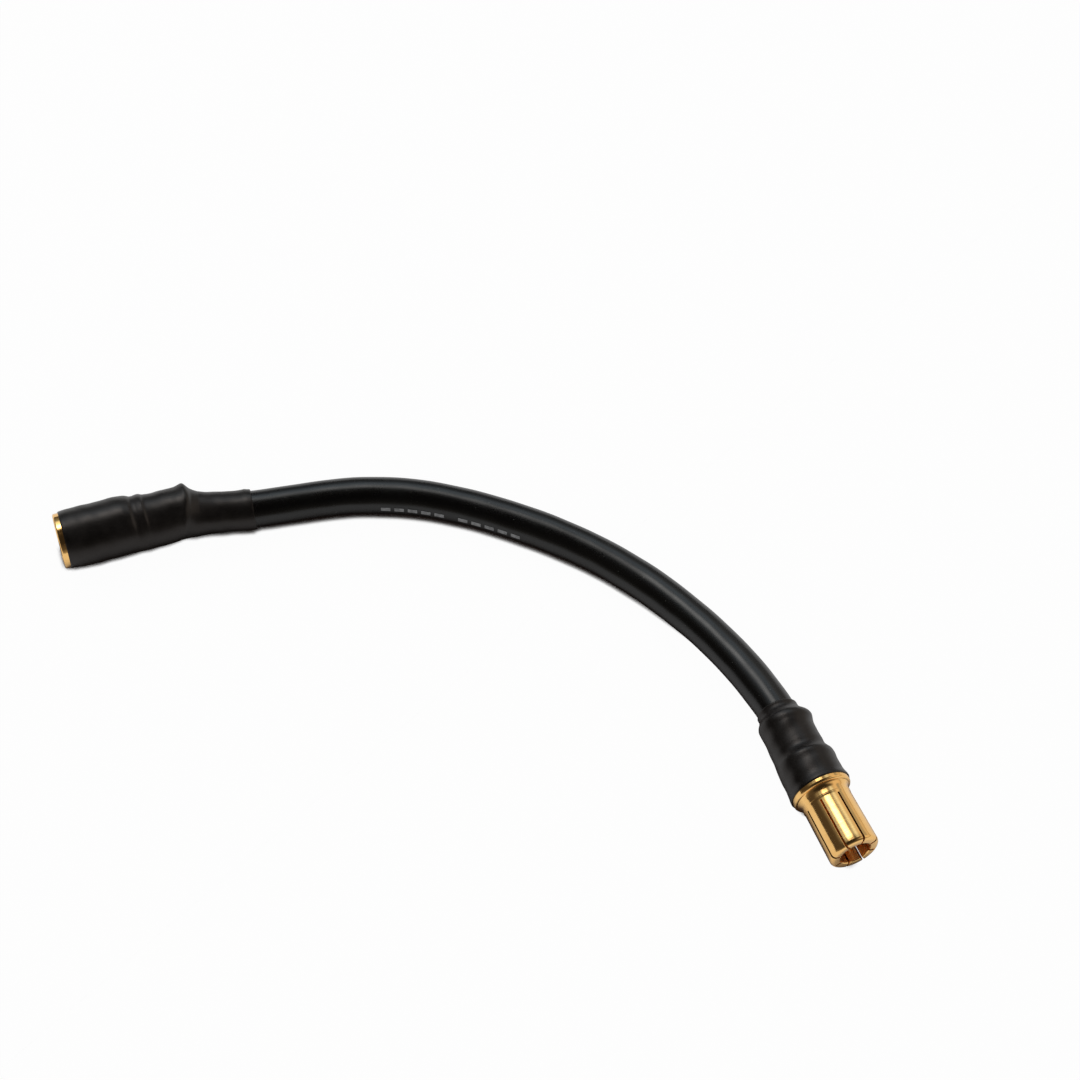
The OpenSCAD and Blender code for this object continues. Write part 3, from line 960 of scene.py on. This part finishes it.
def make_lamp(name, azimuth, elevation, distance, size, power, color):
    """A soft lamp that the glossy surfaces don't mirror; they mirror the surround."""
    data = bpy.data.lights.new(name, "AREA")
    data.shape = "RECTANGLE"
    data.size, data.size_y = size
    data.energy = power
    data.color = color
    lamp = bpy.data.objects.new(name, data)
    lamp.location = spot(azimuth, elevation, distance)
    lamp.rotation_euler = lamp.location.to_track_quat("Z", "Y").to_euler()
    lamp.visible_glossy = False
    bpy.context.scene.collection.objects.link(lamp)


# What the glossy surfaces mirror, each over those before it: middle and half-width in azimuth and
# in elevation, soft margin, light
SURROUND_BASE = (0.09, 0.08, 0.07)
SURROUND = [
    ((0, 360), (4, 9), 8, (0.27, 0.24, 0.2)),           # pale foot of the walls all round
    ((268, 26), (16, 26), 12, (0.075, 0.065, 0.055)),   # dark card on the left
    ((118, 46), (26, 22), 12, (0.86, 0.78, 0.68)),      # bright wall on the right
    ((180, 62), (22, 5), 9, (0.26, 0.3, 0.34)),         # glow under the softbox
    ((184, 40), (4, 8), 5, (0.06, 0.055, 0.05)),        # darker foot of the far wall
    ((250, 12), (42, 10), 8, (0.38, 0.38, 0.36)),       # glow left of the softbox
    ((196, 44), (46, 12), 9, (1.3, 1.5, 1.65)),         # softbox
    ((208, 20), (60, 7), 7, (6.6, 6.5, 6.3)),           # its bright middle
    ((0, 62), (60, 24), 12, (0.03, 0.026, 0.023)),      # black card over the camera
]
SURROUND_R = 1.6
SURROUND_STEP = 2.5            # degrees between its points
SURROUND_FROM = 1.5            # degrees above the floor


def surround_light(azimuth, elevation):
    """The surround's light at directions in degrees."""
    light = np.ones(azimuth.shape + (1,)) * SURROUND_BASE
    for (az, az_half), (el, el_half), margin, color in SURROUND:
        off = np.abs((azimuth - az + 180) % 360 - 180) * np.cos(np.radians(elevation))
        inside = 1 - smooth(off - az_half * math.cos(math.radians(el)), -margin, margin)
        inside = inside * (1 - smooth(np.abs(elevation - el) - el_half, -margin, margin))
        light = light + inside[..., None] * (np.array(color) - light)
    return light


def make_surround():
    """A dome of pale walls, cards and a softbox that only the glossy surfaces see."""
    azimuths = np.arange(0, 360, SURROUND_STEP)
    elevations = np.arange(SURROUND_FROM, 90, SURROUND_STEP)
    az, el = np.meshgrid(azimuths, elevations, indexing="ij")
    points = [spot(x, y, SURROUND_R) for x, y in zip(az.ravel(), el.ravel())]
    across, rows = len(elevations), len(azimuths)
    faces = [(i * across + j, (i + 1) % rows * across + j, (i + 1) % rows * across + j + 1,
              i * across + j + 1) for i in range(rows) for j in range(across - 1)]
    mesh = bpy.data.meshes.new("surround")
    mesh.from_pydata([tuple(p) for p in points], [], faces)
    light = surround_light(az, el).reshape(-1, 3)
    colors = np.concatenate([light, np.ones((len(points), 1))], axis=1)
    layer = mesh.color_attributes.new("light", "FLOAT_COLOR", "POINT")
    layer.data.foreach_set("color", colors.astype(np.float32).ravel())
    material = bpy.data.materials.new("surround")
    material.use_nodes = True
    nodes, links = material.node_tree.nodes, material.node_tree.links
    nodes.clear()
    painted = nodes.new("ShaderNodeAttribute")
    painted.attribute_name = "light"
    glow = nodes.new("ShaderNodeEmission")
    out = nodes.new("ShaderNodeOutputMaterial")
    links.new(painted.outputs["Color"], glow.inputs["Color"])
    links.new(glow.outputs[0], out.inputs[0])
    mesh.materials.append(material)
    dome = bpy.data.objects.new("surround", mesh)
    bpy.context.scene.collection.objects.link(dome)
    dome.visible_camera = dome.visible_diffuse = dome.visible_shadow = False
    dome.visible_transmission = False


make_floor()
make_world()
make_surround()
make_lamp("softbox", azimuth=206, elevation=52, distance=0.8, size=(0.95, 0.6), power=2.0,
          color=(0.93, 0.97, 1.0))
make_lamp("fill", azimuth=-40, elevation=60, distance=1.2, size=(0.9, 0.9), power=2.0,
          color=(1.0, 0.97, 0.93))

bpy.context.scene.view_settings.view_transform = "Standard"
